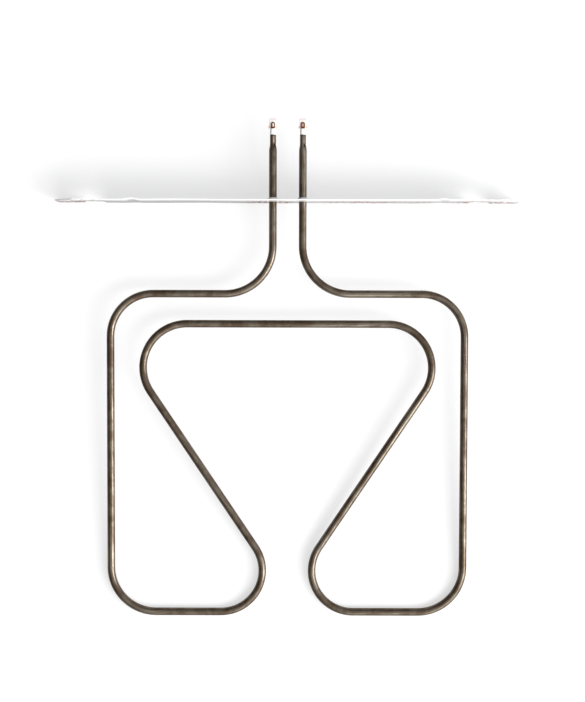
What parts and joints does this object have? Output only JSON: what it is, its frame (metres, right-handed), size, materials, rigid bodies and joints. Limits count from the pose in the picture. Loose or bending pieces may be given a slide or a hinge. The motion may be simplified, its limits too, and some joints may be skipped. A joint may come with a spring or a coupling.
{
  "type": "tubular heating element",
  "caption": "Two-loop tubular heating element with necked leg ends, flat push-on tabs and a long sheet-metal mounting plate with drawn collars.",
  "frame": {"origin": "centre between the two legs, on the plate's flat loop-side face and at the height of the tube's centre line", "axes": "+Y along the legs to the terminals, +X along the plate to the right-hand leg, +Z square to the plane of the loops"},
  "size_m": [0.389, 0.4192, 0.04],
  "materials": {
    "plate_steel": "galvanised sheet, satin, cut edges slightly rusted",
    "sheath_steel": "oxidised brown-grey, polished by a belt in slanting streaks",
    "heating_wire": "drawn resistance wire",
    "magnesia": "compacted powder",
    "pin_steel": "heat-tinted from welding",
    "seal_resin": "matt resin",
    "bead_ceramic": "unglazed white",
    "tab_steel": "plated, heat-tinted near the weld"
  },
  "bodies": {
    "root": {"mounting_plate": "plate_steel", "sheath_tube": "sheath_steel", "resistance_coil": "heating_wire", "magnesia_filling": "magnesia", "cold_pin_left": "pin_steel", "cold_pin_right": "pin_steel", "end_seal_left": "seal_resin", "end_seal_right": "seal_resin", "ceramic_bead_left": "bead_ceramic", "ceramic_bead_right": "bead_ceramic", "terminal_tab_left": "tab_steel", "terminal_tab_right": "tab_steel"}
  },
  "joints": []
}
